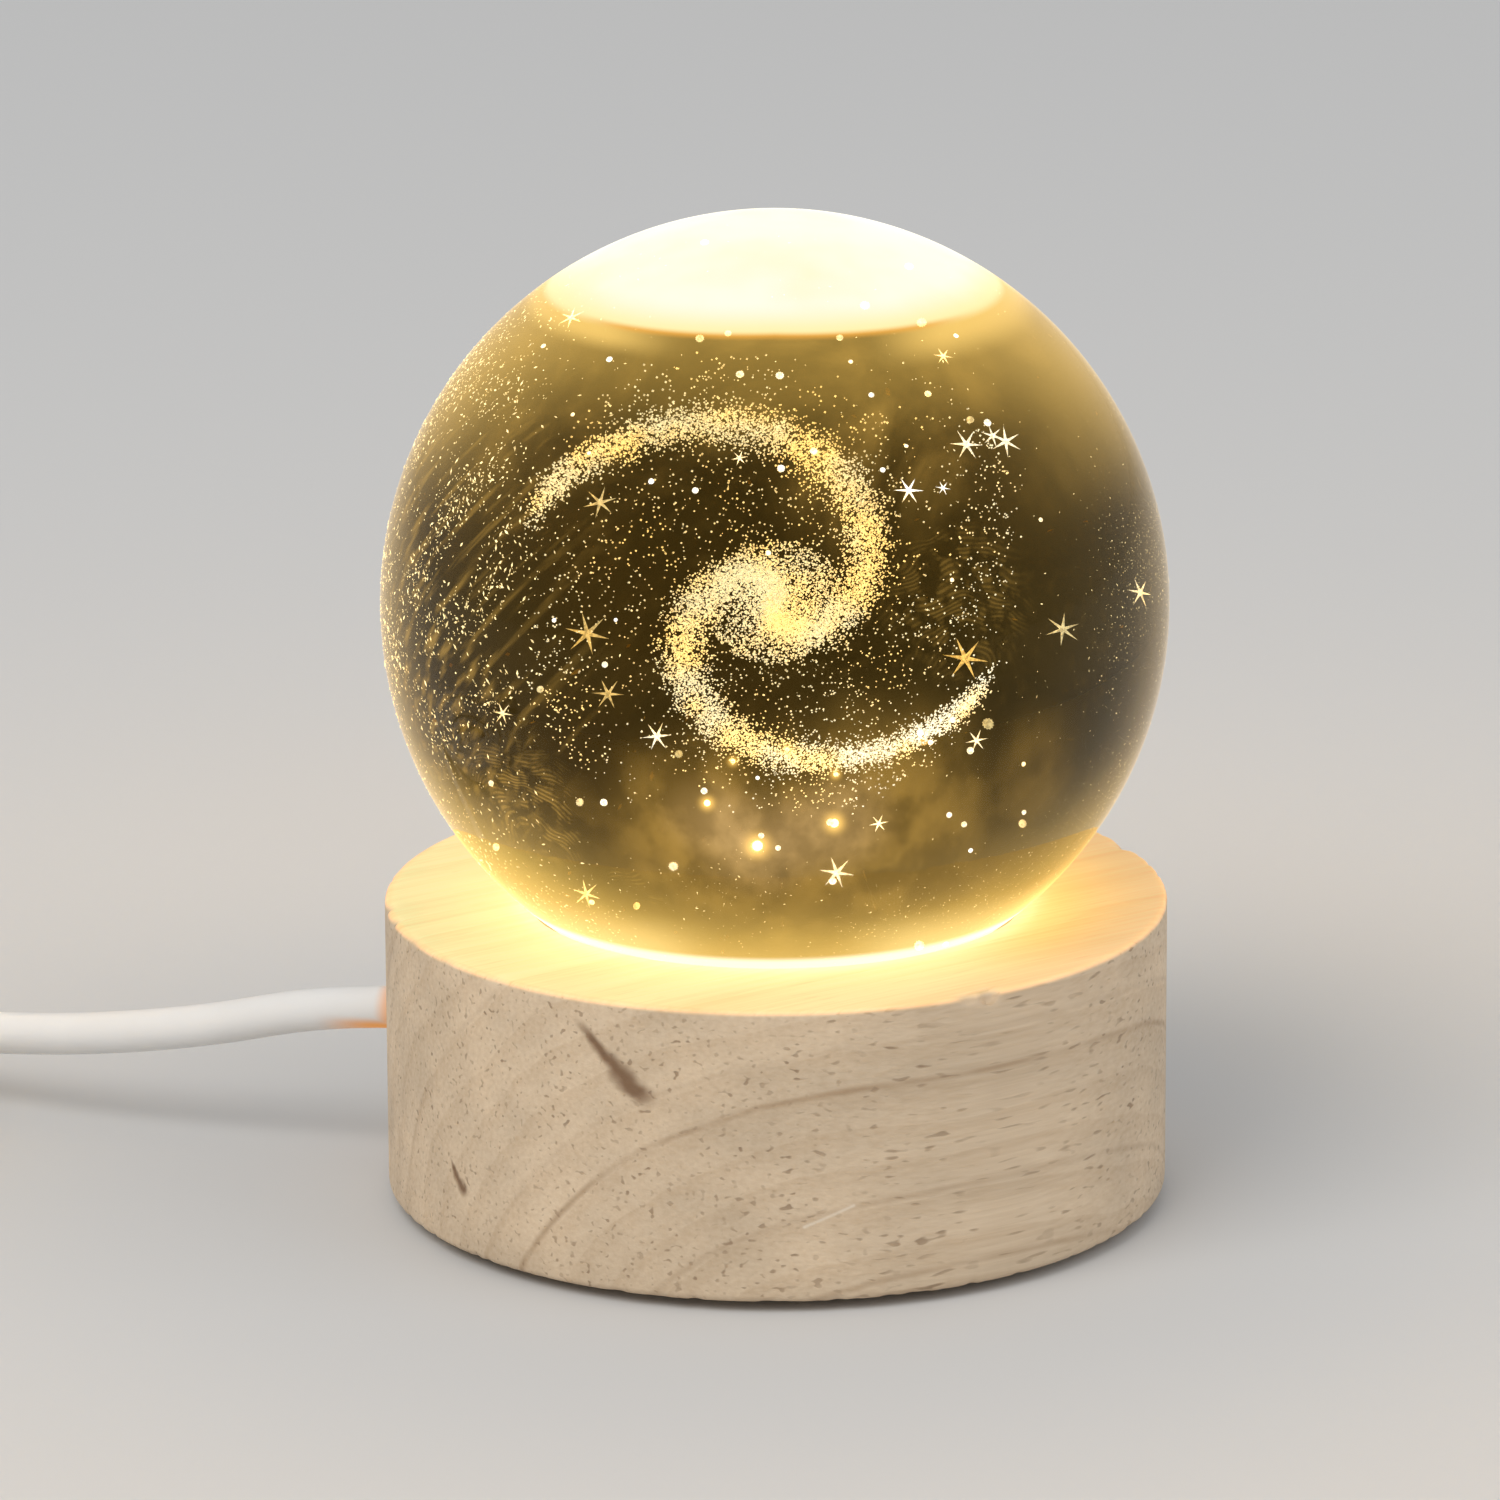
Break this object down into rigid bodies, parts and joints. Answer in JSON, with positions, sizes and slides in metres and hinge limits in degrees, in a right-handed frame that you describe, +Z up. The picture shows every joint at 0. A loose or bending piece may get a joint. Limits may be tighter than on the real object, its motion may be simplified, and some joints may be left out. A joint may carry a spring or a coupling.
{
  "type": "crystal ball lamp",
  "caption": "Table lamp: a solid glass ball with a spiral engraved inside it rests loose on a turned wooden base that hides a ring of LEDs, with a white USB lead out of its side. The ball lifts off.",
  "frame": {"origin": "centre of the foot pad's underside, on the surface that the lamp stands on", "axes": "+Z up along the base's and the ball's common axis, -Y towards the viewer, the lead leaves to -X"},
  "size_m": [0.1738, 0.0715, 0.0767],
  "materials": {
    "crystal": "polished optical glass",
    "engraved": "glass clouded by a laser",
    "pale_wood": "fine sanded, unvarnished",
    "foam": "closed-cell foam",
    "tape": "foam tape",
    "board": "white solder mask",
    "led_housing": "moulded white",
    "led_phosphor": "phosphor resin",
    "resistor": "fired film",
    "solder": "tin solder",
    "red_core": "PVC insulation",
    "black_core": "PVC insulation",
    "hot_melt": "clear hot-melt glue",
    "lead_jacket": "smooth white PVC",
    "tie": "plastic-coated wire",
    "plug_plastic": "moulded PVC",
    "plug_metal": "nickel plate",
    "tongue": "moulded",
    "contact": "gold flash"
  },
  "bodies": {
    "base": {"wood_base": "pale_wood", "foot_pad": "foam", "board_tape": "tape", "led_board": "board", "cable_inlet": "lead_jacket", "glue_bead": "hot_melt", "wire_positive": "red_core", "wire_negative": "black_core", "solder_positive": "solder", "solder_negative": "solder", "cable_lead": "lead_jacket", "cable_coil": "lead_jacket", "cable_tail": "lead_jacket", "coil_tie": "tie", "plug_relief": "plug_plastic", "plug_body": "plug_plastic", "plug_shell": "plug_metal", "plug_tongue": "tongue", "plug_contacts": "contact", "led_housing_1": "led_housing", "led_phosphor_1": "led_phosphor", "resistor_1": "resistor", "led_housing_2": "led_housing", "led_phosphor_2": "led_phosphor", "resistor_2": "resistor", "led_housing_3": "led_housing", "led_phosphor_3": "led_phosphor", "resistor_3": "resistor", "led_housing_4": "led_housing", "led_phosphor_4": "led_phosphor", "resistor_4": "resistor", "led_housing_5": "led_housing", "led_phosphor_5": "led_phosphor", "resistor_5": "resistor", "led_housing_6": "led_housing", "led_phosphor_6": "led_phosphor", "resistor_6": "resistor"},
    "ball": {"crystal_ball": "crystal", "engraved_spiral": "engraved"}
  },
  "joints": [
    {"name": "ball_lift", "type": "slide", "parent": "base", "child": "ball", "axis": [0, 0, 1], "range_m": [0, 0.05]}
  ]
}
